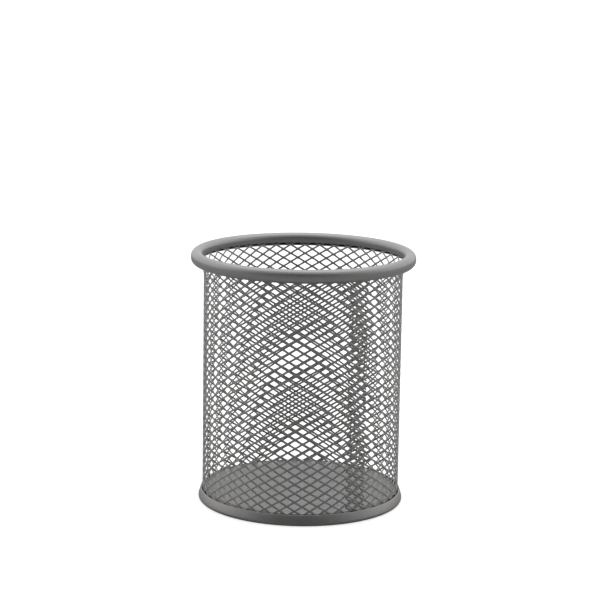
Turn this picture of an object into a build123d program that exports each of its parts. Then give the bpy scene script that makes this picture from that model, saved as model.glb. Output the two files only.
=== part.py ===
from build123d import *
from math import acos, asin, atan2, cos, degrees, hypot, pi, sin, sqrt
import os

# A round mesh pen cup for a desk: an expanded steel wall rolled into a cylinder, lapped at a
# welded seam and flared a little at the top, a rolled tube rim that grips the flared edge, and
# a pressed base whose outer skirt is folded up round the bottom edge of the mesh.
# Millimetres and degrees. The origin is the centre of the foot, on the table. +Z is up, and the
# welded seam is on the -Y side, a little towards +X.

cup_height = 102.6          # table to the top of the rim
wall_diameter = 80.0        # outside of the mesh wall
wall_sheet = 0.5            # thickness of the expanded sheet
diamond_length = 6.05       # round the wall, from one bond to the next in its row
diamond_height = 3.617      # up the wall, from one bond to the next
lowest_row = 0.29           # table to the middle of a row of diamonds, below the mesh's edge
strand_width = 0.75         # width of a strand, across the strand
seam_angle = 36.0           # where the outer end of the sheet lies, from -Y towards +X
lap_columns = 2             # half columns of diamonds that run on under that end
panel_columns = 6           # half columns of diamonds in one panel of the wall
flare_height = 8.4          # the wall starts to flare this far below the rim tube's centre
flare_bend = 17.5           # bend of the flare, at the middle of the sheet

rim_tube_height = 5.4       # height of the rolled rim
rim_tube_width = 4.7        # the tube is pressed a little narrower than it is tall
rim_overhang = 2.85         # the tube's centre, out from the face of the wall
rim_sheet = 0.4
rim_lip_drop = 1.05         # the inner lip hangs this far below the tube's centre
rim_slot = 0.3              # the outer lip stays this far out from the flared mesh

base_sheet = 0.6
floor_height = 4.7          # table to the top of the floor plate
skirt_height = 4.4          # table to the top of the skirt
skirt_flare = 1.6           # the foot of the skirt, out from the face of the wall
floor_bend = 0.8            # bends at the middle of the sheet
channel_bend = 0.4
foot_bend = 0.8

slip = 0.1                  # clearance where the mesh goes into the rim and the base

wall_outer = wall_diameter / 2
wall_inner = wall_outer - wall_sheet
wall_middle = wall_outer - wall_sheet / 2
flare_centre = wall_middle + flare_bend
half_columns = round(2 * pi * wall_middle / (diamond_length / 2))
half_column_angle = 360 / half_columns
half_column_width = 2 * pi * wall_middle / half_columns

rim_radius = wall_outer + rim_overhang
rim_level = cup_height - rim_tube_height / 2
rim_lip_end = rim_level - rim_lip_drop
flare_level = rim_level - flare_height

mesh_bottom = base_sheet + slip


def from_front(angle):
    """Turns an angle measured from -Y towards +X into one measured from +X."""
    return angle - 90


def sheet_ring(path, thickness, turn=360):
    """A sheet with rounded edges whose middle follows the path, turned round the cup's axis."""
    outline = Wire([Plane.XZ * edge for edge in path])
    section = make_face(offset(outline, amount=thickness / 2, side=Side.BOTH))
    beside_axis = Plane.XZ * Rectangle(
        cup_height * 2, cup_height * 4, align=(Align.MIN, Align.CENTER)
    )
    return revolve(section & beside_axis, Axis.Z, revolution_arc=turn)


def flared_radius(level, radius):
    """How far from the axis a layer of the wall is at a height, up in its flare."""
    bend = flare_centre - radius
    rise = max(0, level - flare_level)
    return flare_centre - sqrt(bend**2 - rise**2)


def rim_ring():
    """The rolled tube, flat where it is longest, and its inner lip down inside the mesh."""
    bend = (min(rim_tube_width, rim_tube_height) - rim_sheet) / 2
    across = (rim_tube_width - rim_sheet) / 2 - bend
    up = (rim_tube_height - rim_sheet) / 2 - bend
    inner = Vector(rim_radius - across, rim_level + up)
    above = Vector(rim_radius + across, rim_level + up)
    below = Vector(rim_radius + across, rim_level - up)
    side, crown = Vector(bend, 0), Vector(0, bend)

    mesh_face = flared_radius(below.Y - bend, wall_outer)
    outer_lip_radius = mesh_face + rim_slot + rim_sheet / 2
    outer_lip_angle = degrees(acos((below.X - outer_lip_radius) / bend))
    edges = [
        Line((inner.X - bend, rim_lip_end), inner - side),
        CenterArc(inner, bend, 90, 90),
        CenterArc(above, bend, 0, 90),
        CenterArc(below, bend, outer_lip_angle - 180, 180 - outer_lip_angle),
    ]
    if across:
        edges.append(Line(inner + crown, above + crown))
    if up:
        edges.append(Line(above + side, below + side))
    return sheet_ring(edges, rim_sheet)


def base_plate():
    """The floor plate, turned down at the mesh, folded out along the table and up as a skirt."""
    half = base_sheet / 2
    turn_down = wall_inner - slip - half
    skirt_top = Vector(wall_outer + slip + half, skirt_height - half)
    foot = Vector(wall_outer + skirt_flare - half - foot_bend, half + foot_bend)

    to_top = skirt_top - foot
    tangent = atan2(to_top.Y, to_top.X) - acos(foot_bend / hypot(to_top.X, to_top.Y))
    skirt_start = foot + Vector(cos(tangent), sin(tangent)) * foot_bend

    pan = FilletPolyline(
        (0, floor_height - half),
        (turn_down, floor_height - half),
        (turn_down, half),
        (foot.X, half),
        radius=[floor_bend, channel_bend],
    )
    bend = CenterArc(foot, foot_bend, -90, 90 + degrees(tangent))
    skirt = Line(skirt_start, skirt_top)
    return sheet_ring(pan.edges() + bend.edges() + skirt.edges(), base_sheet)


def diamond(level):
    """The opening between four strands, centred at a height, on a plane that faces outward."""
    slope = atan2(diamond_height / 2, half_column_width)
    half_length = half_column_width - strand_width / 2 / sin(slope)
    half_height = diamond_height / 2 - strand_width / 2 / cos(slope)
    corners = [(half_length, 0), (0, half_height), (-half_length, 0), (0, -half_height)]
    return Pos(0, level) * Polygon(*corners, align=None)


def mesh_panel(columns, outer, bottom, top):
    """A curved panel of the mesh, from its first bond line at +X, round towards +Y."""
    middle = outer - wall_sheet / 2
    bend = flare_centre - middle
    flare_turn = degrees(asin((top - wall_sheet / 2 - flare_level) / bend))
    path = [
        Line((middle, bottom + wall_sheet / 2), (middle, flare_level)),
        CenterArc((flare_centre, flare_level), bend, 180 - flare_turn, flare_turn),
    ]
    panel = sheet_ring(path, wall_sheet, columns * half_column_angle)
    depth = flared_radius(top, outer) - outer + 3 * wall_sheet
    rows = int((cup_height + diamond_height) / diamond_height) + 1
    facing_out = Plane.YZ.offset(outer - 2 * wall_sheet)
    openings = []
    for column in range(columns + 1):
        turn = Rot(Z=column * half_column_angle)
        shift = (column % 2) * diamond_height / 2
        for row in range(rows):
            level = lowest_row + row * diamond_height + shift
            if bottom - diamond_height / 2 < level < top + diamond_height / 2:
                cutter = extrude(facing_out * diamond(level), depth)
                openings.append(turn * cutter.solid())
    return panel.solid().cut(*openings)


def mesh_wall():
    """The wall in equal panels that meet at their bonds, a last narrower one, and the lap."""
    start = from_front(seam_angle)
    whole = half_columns // panel_columns
    last = half_columns - whole * panel_columns

    panel = mesh_panel(panel_columns, wall_outer, mesh_bottom, rim_level)
    panels = []
    for number in range(whole):
        turned = panel.moved(Rot(Z=start + number * panel_columns * half_column_angle))
        panels.append(turned)
    if last:
        turn = Rot(Z=start + whole * panel_columns * half_column_angle)
        panels.append(mesh_panel(last, wall_outer, mesh_bottom, rim_level).moved(turn))

    lap_bottom = floor_height + slip
    lap_top = rim_lip_end - rim_sheet / 2 - slip
    lap = mesh_panel(lap_columns, wall_inner - slip / 2, lap_bottom, lap_top)
    lap = lap.moved(Rot(Z=start - lap_columns * half_column_angle))
    return Compound(children=panels + [lap])


os.makedirs("parts", exist_ok=True)
export_step(rim_ring(), "parts/rim_ring.step")
export_step(base_plate(), "parts/base_plate.step")
export_step(mesh_wall(), "parts/mesh_wall.step", write_pcurves=False)
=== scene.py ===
from math import acos, asin, atan2, copysign, cos, degrees, hypot, pi, radians, sin

import bpy
import numpy as np
from mathutils import Matrix, Vector


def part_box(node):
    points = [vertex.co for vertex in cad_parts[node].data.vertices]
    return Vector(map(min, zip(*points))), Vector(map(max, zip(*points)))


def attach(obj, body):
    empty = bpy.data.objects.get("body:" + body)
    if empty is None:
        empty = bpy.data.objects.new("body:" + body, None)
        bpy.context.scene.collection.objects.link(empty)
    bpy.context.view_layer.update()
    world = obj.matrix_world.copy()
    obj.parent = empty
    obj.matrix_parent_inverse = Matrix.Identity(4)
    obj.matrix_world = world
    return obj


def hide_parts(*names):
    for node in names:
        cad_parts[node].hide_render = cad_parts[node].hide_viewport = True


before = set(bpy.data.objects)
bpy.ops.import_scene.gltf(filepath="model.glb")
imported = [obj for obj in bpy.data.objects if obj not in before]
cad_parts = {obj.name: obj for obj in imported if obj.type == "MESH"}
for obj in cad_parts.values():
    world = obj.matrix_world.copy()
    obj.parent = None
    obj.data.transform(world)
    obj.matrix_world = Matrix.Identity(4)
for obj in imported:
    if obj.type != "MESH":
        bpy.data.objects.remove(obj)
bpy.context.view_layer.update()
bpy.ops.object.select_all(action="DESELECT")

# --- The base ---------------------------------------------------------------------------
# One round steel blank, pressed into a floor plate. Its edge is turned down inside the
# mesh, folded out along the table and up again as a flared skirt round the mesh's foot.

base_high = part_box("base_plate")[1]

base_sheet = 0.0006
floor_top = 0.0047
floor_bend = 0.0008
channel_bend = 0.0004
foot_bend = 0.0008
skirt_flare = 0.0016
base_hem = 0.00024
slip = 0.0001
mesh_sheet = 0.0005
round_steps = 240
hem_steps = 3
sheet_crease = 50


def bend(centre, curve, start, stop, steps):
    """Points round a bend of the section, as distances from the axis and heights."""
    angles = np.linspace(radians(start), radians(stop), steps)
    return [(centre[0] + curve * cos(a), centre[1] + curve * sin(a)) for a in angles]


def draw_out(section):
    """Extrudes the open edge of a round shell through each point of the section."""
    bpy.ops.mesh.select_all(action="DESELECT")
    bpy.ops.mesh.select_non_manifold()
    for here, there in zip(section, section[1:]):
        bpy.ops.mesh.extrude_region_move()
        grow = there[0] / here[0]
        bpy.ops.transform.resize(value=(grow, grow, 1), center_override=(0, 0, 0))
        bpy.ops.transform.translate(value=(0, 0, there[1] - here[1]))


def give_thickness(piece, thickness, hem):
    """Turns a shell into sheet metal of even thickness, with rounded cut edges."""
    sheet = piece.modifiers.new("Sheet", "SOLIDIFY")
    sheet.thickness = thickness
    sheet.offset = 0
    sheet.use_even_offset = True
    rounding = piece.modifiers.new("Hem", "BEVEL")
    rounding.width = hem
    rounding.segments = hem_steps
    rounding.limit_method = "ANGLE"
    rounding.angle_limit = radians(60)
    for modifier in (sheet, rounding):
        bpy.ops.object.modifier_apply(modifier=modifier.name)


def finish_surface(piece, crease):
    """Points every face outwards, then shades the piece smooth up to the crease angle."""
    bpy.ops.object.mode_set(mode="EDIT")
    bpy.ops.mesh.select_all(action="SELECT")
    bpy.ops.mesh.normals_make_consistent(inside=False)
    bpy.ops.object.mode_set(mode="OBJECT")
    bpy.ops.object.shade_smooth_by_angle(angle=radians(crease))
    bpy.ops.object.select_all(action="DESELECT")


half = base_sheet / 2
wall_outer = base_high.x - skirt_flare
wall_inner = wall_outer - mesh_sheet
turn_down = wall_inner - slip - half
skirt_top = Vector((wall_outer + slip + half, base_high.z - half))
foot = Vector((base_high.x - half - foot_bend, half + foot_bend))
to_top = skirt_top - foot
tangent = atan2(to_top.y, to_top.x) - acos(foot_bend / hypot(to_top.x, to_top.y))

floor_edge = (turn_down - floor_bend, floor_top - half - floor_bend)
channel = (turn_down + channel_bend, half + channel_bend)
base_section = bend(floor_edge, floor_bend, 90, 0, 9)
base_section += bend(channel, channel_bend, 180, 270, 7)
base_section += bend(foot, foot_bend, -90, degrees(tangent), 15)
base_section.append(tuple(skirt_top))

bpy.ops.mesh.primitive_circle_add(
    vertices=round_steps,
    radius=base_section[0][0],
    fill_type="TRIFAN",
    location=(0, 0, base_section[0][1]),
)
bpy.ops.object.transform_apply(location=True)
base = bpy.context.object
base.name = "pressed_base"
bpy.ops.object.mode_set(mode="EDIT")
draw_out(base_section)
bpy.ops.object.mode_set(mode="OBJECT")
give_thickness(base, base_sheet, base_hem)
finish_surface(base, sheet_crease)


class Signal:
    """An output of a shader node. Sums and products of signals add their Math nodes."""

    def __init__(self, socket):
        self.socket = socket

    def node(self, kind, settings, inputs, output=0):
        tree = self.socket.id_data
        made = tree.nodes.new(kind)
        for name, value in settings.items():
            setattr(made, name, value)
        for name, value in inputs.items():
            if isinstance(value, Signal):
                tree.links.new(value.socket, made.inputs[name])
            else:
                made.inputs[name].default_value = value
        return Signal(made.outputs[output])

    def math(self, operation, first, second):
        settings = {"operation": operation}
        return self.node("ShaderNodeMath", settings, {0: first, 1: second})

    def __add__(self, other):
        return self.math("ADD", self, other)

    def __sub__(self, other):
        return self.math("SUBTRACT", self, other)

    def __rsub__(self, other):
        return self.math("SUBTRACT", other, self)

    def __mul__(self, other):
        return self.math("MULTIPLY", self, other)

    __radd__ = __add__
    __rmul__ = __mul__


def silver_coat(name, colour, mottle, peel):
    """Baked silver-grey coat: metal flake in a binder, with a slight orange peel.

    The mottle is how far the tone strays in spots, and the peel is the relief's height.
    """
    coat = bpy.data.materials.new(name)
    coat.use_nodes = True
    nodes, links = coat.node_tree.nodes, coat.node_tree.links
    paint = nodes["Principled BSDF"]
    flake_share = 0.8
    place = Signal(nodes.new("ShaderNodeTexCoord").outputs["Object"])

    def noise(scale, detail):
        inputs = {"Vector": place, "Scale": scale, "Detail": detail, "Roughness": 0.55}
        return place.node("ShaderNodeTexNoise", {}, inputs)

    drift = noise(60, 2)  # spots a centimetre or two across
    blotch = noise(900, 2)  # spots about a millimetre across
    fleck = noise(3600, 1)  # flakes
    pebble = noise(1300, 1)  # orange peel
    grit = noise(4200, 1)

    tone = (drift - 0.5) * 0.2 + (blotch - 0.5) * mottle + (fleck - 0.5) * 0.3 + 1
    dark = [c * 0.5 for c in colour] + [1]
    light = [c * 1.5 for c in colour] + [1]
    shade = place.node(
        "ShaderNodeMix",
        {"data_type": "RGBA"},
        {"Factor": tone * 0.5, 6: dark, 7: light},
        output=2,
    )
    relief = pebble * peel + grit * (peel * 0.25)
    surface = place.node(
        "ShaderNodeBump", {}, {"Height": relief, "Strength": 1.0, "Distance": 1.0}
    )
    roughness = 0.33 + drift * 0.08 + fleck * 0.08
    links.new(shade.socket, paint.inputs["Base Color"])
    links.new(roughness.socket, paint.inputs["Roughness"])
    links.new(surface.socket, paint.inputs["Normal"])
    paint.inputs["Metallic"].default_value = flake_share
    return coat


base_grey = (0.324, 0.317, 0.314)
sheet_peel = 0.000022
base.data.materials.append(silver_coat("base_silver_coat", base_grey, 0.5, sheet_peel))
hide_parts("base_plate")
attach(base, "root")

# --- The wall ---------------------------------------------------------------------------
# One strip of steel, slit and stretched into diamonds, pressed nearly flat and rolled
# into a cylinder that flares into the rim. Its ends lap by a little over one diamond.

wall_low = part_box("mesh_wall")[0]
rim_low, rim_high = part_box("rim_ring")

strand = 0.00077
diamonds_round = 41.5
diamonds_lapped = 1
diamond_height = 0.003617
lowest_row = 0.00029
seam_angle = radians(36.0)
flare_height = 0.0084
flare_bend = 0.0175
blunt_side = 0.00030
blunt_top = 0.00040
edge_round = 0.00026
strand_tilt = 0.00011
lap_step = 0.00060
lap_overrun = 0.4
lap_ramp = 0.6
skew = 0.0005
skew_length = 17
strand_crease = 75
strand_peel = 0.000008

wall_middle = wall_outer - mesh_sheet / 2
rim_level = (rim_low.z + rim_high.z) / 2
flare_level = rim_level - flare_height
diamond_length = 2 * pi * wall_middle / diamonds_round
half_long, half_high = diamond_length / 2, diamond_height / 2
slope = atan2(half_high, half_long)
to_strand = half_long * sin(slope)

# The opening inside the strands' middle lines, a diamond with its four corners blunted.
bpy.ops.mesh.primitive_circle_add(vertices=8, radius=1, rotation=(pi / 2, pi / 8, 0))
bpy.ops.object.transform_apply(rotation=True)
wall = bpy.context.object
wall.name = "expanded_mesh_wall"
for vertex in wall.data.vertices:
    x, z = vertex.co.x, vertex.co.z
    if abs(x) > abs(z):
        x = copysign(half_long - blunt_side * cos(slope), x)
        z = copysign(blunt_side * sin(slope), z)
    else:
        x = copysign(blunt_top * cos(slope), x)
        z = copysign(half_high - blunt_top * sin(slope), z)
    vertex.co = (x, 0, z)

# Half the strand's thickness is drawn round the opening, cut to the tile and mirrored.
strand_section = [
    (-strand / 2, 0),
    (-strand / 2 + edge_round, -mesh_sheet / 2),
    (strand / 2 - edge_round, -mesh_sheet / 2),
    (strand / 2, 0),
]
bpy.ops.object.mode_set(mode="EDIT")
bpy.ops.mesh.select_all(action="SELECT")
shrink = 1 + strand_section[0][0] / to_strand
bpy.ops.transform.resize(value=(shrink, 1, shrink), center_override=(0, 0, 0))
for here, there in zip(strand_section, strand_section[1:]):
    bpy.ops.mesh.extrude_region_move()
    grow = (to_strand + there[0]) / (to_strand + here[0])
    bpy.ops.transform.resize(value=(grow, 1, grow), center_override=(0, 0, 0))
    bpy.ops.transform.translate(value=(0, there[1] - here[1], 0))


def trim(point, normal, fill):
    """Cuts the mesh at a plane and drops what lies on the normal's side."""
    bpy.ops.mesh.select_all(action="SELECT")
    bpy.ops.mesh.bisect(
        plane_co=point, plane_no=normal, clear_outer=True, use_fill=fill, threshold=1e-7
    )


for side in (-1, 1):
    trim((side * half_long, 0, 0), (side, 0, 0), False)
    trim((0, 0, side * half_high), (0, 0, side), False)
bpy.ops.mesh.select_all(action="SELECT")
bpy.ops.mesh.duplicate()
bpy.ops.transform.resize(value=(1, -1, 1), center_override=(0, 0, 0))
bpy.ops.mesh.select_all(action="SELECT")
bpy.ops.mesh.remove_doubles(threshold=1e-7)
bpy.ops.object.mode_set(mode="OBJECT")

# Each strand leans a little about its own line, and lies flat where it meets the others.
for vertex in wall.data.vertices:
    x, z = abs(vertex.co.x), abs(vertex.co.z)
    across = (x * sin(slope) + z * cos(slope) - to_strand) / (strand / 2)
    bond = strand / 2 / cos(slope)
    fade = min(1, z / bond) * min(1, max(0, half_high - z) / bond)
    vertex.co.y -= copysign(strand_tilt * across * fade, vertex.co.z)

# Tiles enough for the whole strip, and a spare one each way to trim.
rows = int((rim_level - lowest_row) / diamond_height) + 2
tiles = int(diamonds_round + diamonds_lapped) + 2
for step, count in (((diamond_length, 0, 0), tiles), ((0, 0, diamond_height), rows)):
    spread = wall.modifiers.new("Diamonds", "ARRAY")
    spread.count = count
    spread.use_relative_offset = False
    spread.use_constant_offset = True
    spread.constant_offset_displace = step
    spread.use_merge_vertices = True
    spread.merge_threshold = 1e-6
    bpy.ops.object.modifier_apply(modifier=spread.name)

strip_length = (diamonds_round + diamonds_lapped + lap_overrun) * diamond_length
strip_top = flare_level + flare_bend * asin(flare_height / flare_bend) - mesh_sheet
bpy.ops.object.mode_set(mode="EDIT")
bpy.ops.mesh.select_all(action="SELECT")
bpy.ops.transform.translate(value=(0, 0, lowest_row))
trim((0, 0, wall_low.z), (0, 0, -1), True)
trim((0, 0, strip_top), (0, 0, 1), True)
trim((0, 0, 0), (-1, 0, 0), True)
trim((strip_length, 0, 0), (1, 0, 0), True)
bpy.ops.object.mode_set(mode="OBJECT")

# Rolled up: the strip's start, a little skewed, goes under its end at the seam, and the
# top bends outwards.
places = np.empty(len(wall.data.vertices) * 3)
wall.data.vertices.foreach_get("co", places)
x, y, z = places.reshape(-1, 3).T
along = x / diamond_length
z = z + skew * np.clip(1 - along / skew_length, 0, 1)
lap_end = diamonds_lapped + lap_overrun
under = np.clip((lap_end + lap_ramp - along) / lap_ramp, 0, 1)
layer = wall_middle - y - lap_step * under * under * (3 - 2 * under)
bend_radius = wall_middle + flare_bend - layer
turn = np.maximum(z - flare_level, 0) / flare_bend
radius = layer + bend_radius * (1 - np.cos(turn))
height = np.minimum(z, flare_level) + bend_radius * np.sin(turn)
angle = seam_angle + (x - diamonds_lapped * diamond_length) / wall_middle
rolled = np.stack([radius * np.sin(angle), -radius * np.cos(angle), height], axis=1)
wall.data.vertices.foreach_set("co", rolled.ravel())
wall.data.update()
finish_surface(wall, strand_crease)

mesh_grey = (0.352, 0.352, 0.348)
wall.data.materials.append(silver_coat("mesh_silver_coat", mesh_grey, 0.1, strand_peel))
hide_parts("mesh_wall")
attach(wall, "root")

# --- The rim ----------------------------------------------------------------------------
# A strip of steel rolled into a tube round the flared top edge of the mesh. It stands
# outside the wall, and its inner lip hangs in front of the mesh, which ends inside it.

rim_sheet = 0.0004
rim_tube_width = 0.0047
rim_lip_drop = 0.00125
rim_slot = 0.0003
rim_hem = 0.00016

rim_curve = (rim_tube_width - rim_sheet) / 2
rim_radius = rim_high.x - rim_tube_width / 2
rim_flat = (rim_high.z - rim_low.z - rim_tube_width) / 2
rim_lip = rim_radius - rim_curve
lip_turn = asin((rim_level - rim_flat - rim_curve - flare_level) / flare_bend)
outer_lip = wall_outer + flare_bend * (1 - cos(lip_turn)) + rim_slot + rim_sheet / 2
curl_end = degrees(acos((rim_radius - outer_lip) / rim_curve)) - 180

rim_section = [(rim_lip, rim_level - rim_lip_drop)]
rim_section += bend((rim_radius, rim_level + rim_flat), rim_curve, 180, 0, 25)
rim_section += bend((rim_radius, rim_level - rim_flat), rim_curve, 0, curl_end, 19)
bpy.ops.mesh.primitive_circle_add(
    vertices=round_steps, radius=rim_section[0][0], location=(0, 0, rim_section[0][1])
)
bpy.ops.object.transform_apply(location=True)
rim = bpy.context.object
rim.name = "rolled_rim"
bpy.ops.object.mode_set(mode="EDIT")
draw_out(rim_section)
bpy.ops.object.mode_set(mode="OBJECT")
give_thickness(rim, rim_sheet, rim_hem)
finish_surface(rim, sheet_crease)

rim_grey = (0.33, 0.33, 0.327)
rim.data.materials.append(silver_coat("rim_silver_coat", rim_grey, 0.15, sheet_peel))
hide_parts("rim_ring")
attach(rim, "root")

# --- The studio -------------------------------------------------------------------------
# A pale table in a white tent that glows behind and above the cup and fades to dark
# towards the camera, with a weak wide light overhead. Seen directly, the tent is white.

table_grey = (0.4, 0.4, 0.4, 1)
shadow_grey = (0.7, 0.7, 0.7, 1)
table_glow = 0.6
tent_dark, tent_bright = 0.06, 1.1
tent_near, tent_far = -0.8, 0.2
tent_rise = 0.2

bpy.ops.mesh.primitive_plane_add(size=8)
table = bpy.context.object
table.name = "table"
paper = bpy.data.materials.new("table_paper")
paper.use_nodes = True
nodes, links = paper.node_tree.nodes, paper.node_tree.links
nodes.remove(nodes["Principled BSDF"])
seen = Signal(nodes.new("ShaderNodeLightPath").outputs["Is Camera Ray"])
matte = seen.node("ShaderNodeBsdfDiffuse", {}, {"Color": table_grey})
shaded = seen.node("ShaderNodeBsdfDiffuse", {}, {"Color": shadow_grey})
glow = seen.node("ShaderNodeEmission", {}, {"Strength": table_glow})
lit = seen.node("ShaderNodeAddShader", {}, {0: shaded, 1: glow})
top = seen.node("ShaderNodeMixShader", {}, {0: seen, 1: matte, 2: lit})
links.new(top.socket, nodes["Material Output"].inputs["Surface"])
table.data.materials.append(paper)

world = bpy.data.worlds.new("tent")
world.use_nodes = True
bpy.context.scene.world = world
nodes, links = world.node_tree.nodes, world.node_tree.links
direct = Signal(nodes.new("ShaderNodeLightPath").outputs["Is Camera Ray"])
compass = nodes.new("ShaderNodeSeparateXYZ")
links.new(nodes.new("ShaderNodeTexCoord").outputs["Generated"], compass.inputs[0])
depth = Signal(compass.outputs["Y"]) + Signal(compass.outputs["Z"]) * tent_rise
reach = {"Value": depth, "From Min": tent_near, "From Max": tent_far}
glow_range = {"To Min": tent_dark, "To Max": tent_bright}
tent = depth.node("ShaderNodeMapRange", {}, {**reach, **glow_range})
strength = direct + tent * (1 - direct)
links.new(strength.socket, nodes["Background"].inputs["Strength"])
nodes["Background"].inputs["Color"].default_value = (1, 1, 1, 1)

lamp = bpy.data.lights.new("softbox", "AREA")
lamp.shape = "RECTANGLE"
lamp.size = 1.4
lamp.size_y = 1.0
lamp.energy = 3
softbox = bpy.data.objects.new("softbox", lamp)
softbox.location = (0, 0.35, 1.1)
softbox.rotation_euler = (radians(-14), 0, 0)
bpy.context.scene.collection.objects.link(softbox)

camera_data = bpy.data.cameras.new("camera")
camera_data.sensor_width = 36
camera_data.lens = 128.06
camera_data.clip_start = 0.01
camera = bpy.data.objects.new("camera", camera_data)
look_down, swing, lean = radians(11.35), radians(-0.08), radians(0.88)
aim = Matrix.Rotation(-swing, 4, "Z") @ Matrix.Rotation(pi / 2 - look_down, 4, "X")
camera.matrix_world = (
    Matrix.Translation((0, -0.84315, 0.25148)) @ aim @ Matrix.Rotation(lean, 4, "Z")
)
bpy.context.scene.collection.objects.link(camera)
bpy.context.scene.camera = camera
bpy.context.scene.view_settings.view_transform = "Standard"
